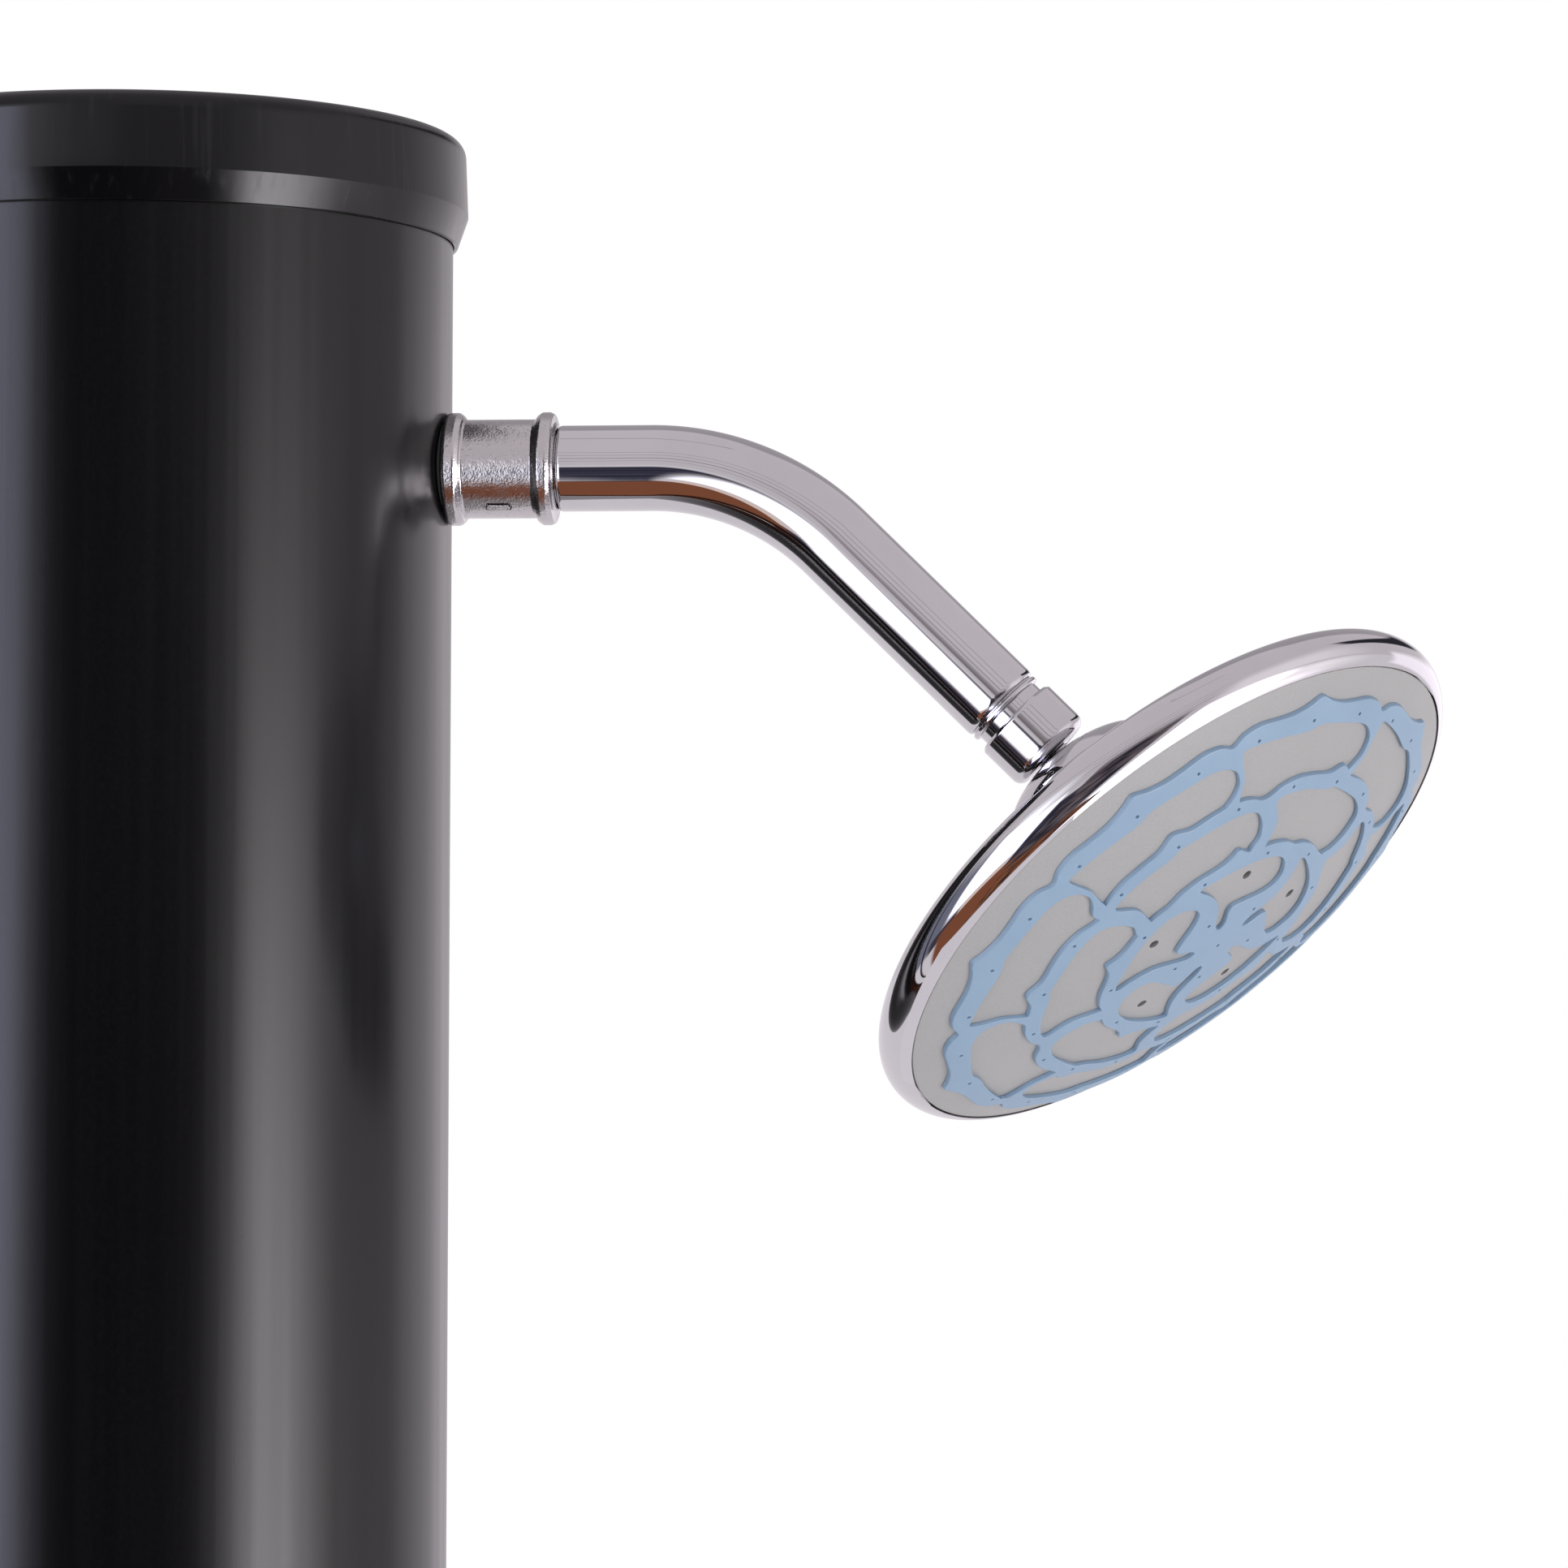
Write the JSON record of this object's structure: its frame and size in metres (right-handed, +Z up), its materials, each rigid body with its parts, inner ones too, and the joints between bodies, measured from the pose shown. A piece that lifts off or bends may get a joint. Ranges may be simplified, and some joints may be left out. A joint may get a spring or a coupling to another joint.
{
  "type": "solar shower",
  "caption": "Free-standing solar shower: black tank column on a ribbed base, chrome arm with a round rain head on a ball joint, lever mixer and foot tap.",
  "frame": {"origin": "centre of the base plate's underside, on the floor", "axes": "+Z up along the column; +X the way the shower arm points; +Y to the arm's left seen from the column"},
  "size_m": [0.5031, 0.34, 2.17],
  "materials": {
    "tank_black_pvc": "satin black PVC",
    "cap_gloss_black": "gloss black",
    "black_plastic": "moulded black plastic",
    "white_plastic": "moulded",
    "hose_white": "smooth hose",
    "black_rubber": "soft rubber",
    "chrome": "polished chrome plate",
    "chromed_plastic": "polished chrome plate on plastic",
    "cast_nickel": "rough cast, nickel plated",
    "brass": "machined",
    "face_plate_grey": "matte grey",
    "nozzle_mat_blue": "matte silicone"
  },
  "bodies": {
    "column": {"base_plate": "black_plastic", "bottom_closure": "tank_black_pvc", "lower_tube": "tank_black_pvc", "upper_tube": "tank_black_pvc", "end_cap": "cap_gloss_black", "union_lower_ring": "black_plastic", "union_upper_ring": "black_plastic", "union_seal": "black_rubber", "union_nut": "black_plastic", "outlet_gasket": "black_rubber", "outlet_socket": "cast_nickel", "outlet_nipple": "brass", "outlet_locknut": "brass", "shower_arm": "chrome", "swivel_ball": "chrome", "mixer_rosette": "chrome", "mixer_body": "chrome", "mixer_locknut": "brass", "mixer_cartridge": "white_plastic", "cartridge_nut": "brass", "mixer_cover": "chrome", "foot_tap_gasket": "black_rubber", "foot_tap_body": "chrome", "foot_tap_locknut": "brass", "foot_tap_bonnet": "chrome", "inlet_gasket": "black_rubber", "inlet_fitting": "brass", "inlet_locknut": "brass", "inlet_connector": "black_plastic", "drain_gasket": "black_rubber", "drain_bush": "black_plastic", "drain_locknut": "black_plastic", "drain_plug": "black_plastic", "cold_riser_hose": "hose_white", "hot_pickup_pipe": "hose_white", "shower_riser_hose": "hose_white"},
    "foot_tap_handle": {"foot_tap_handle": "chrome", "foot_tap_spindle": "brass"},
    "mixer_carrier": {"mixer_carrier": "white_plastic"},
    "mixer_lever": {"mixer_lever": "chrome", "lever_stem": "brass", "lever_screw": "brass", "index_plug": "white_plastic"},
    "ball_seat": {"ball_seat": "white_plastic"},
    "ball_retainer": {"ball_retainer": "white_plastic"},
    "head": {"head_shell": "chromed_plastic", "chamber_seal": "black_rubber", "face_plate": "face_plate_grey", "nozzle_mat": "nozzle_mat_blue"}
  },
  "joints": [
    {"name": "foot_tap_turn", "type": "hinge", "parent": "column", "child": "foot_tap_handle", "pos_m": [0.106, 0, 0.3], "axis": [0, 0, -1], "range_deg": [0, 90]},
    {"name": "mixer_turn", "type": "hinge", "parent": "column", "child": "mixer_carrier", "pos_m": [0.12, 0, 1.15], "axis": [1, 0, 0], "range_deg": [-50, 50]},
    {"name": "mixer_lift", "type": "hinge", "parent": "mixer_carrier", "child": "mixer_lever", "pos_m": [0.12, 0, 1.15], "axis": [0, -1, 0], "range_deg": [0, 22]},
    {"name": "head_turn", "type": "hinge", "parent": "column", "child": "ball_seat", "pos_m": [0.24564, 0, 1.99994], "axis": [0.7145, 0, -0.6997], "range_deg": [-180, 180]},
    {"name": "head_tilt", "type": "hinge", "parent": "ball_seat", "child": "ball_retainer", "pos_m": [0.24564, 0, 1.99994], "axis": [-0.6693, 0.2912, -0.6835], "range_deg": [-20.39, 2.4]},
    {"name": "head_spin", "type": "hinge", "parent": "ball_retainer", "child": "head", "pos_m": [0.24564, 0, 1.99994], "axis": [0.5987, -0.3333, -0.7283], "range_deg": [-180, 180]}
  ]
}
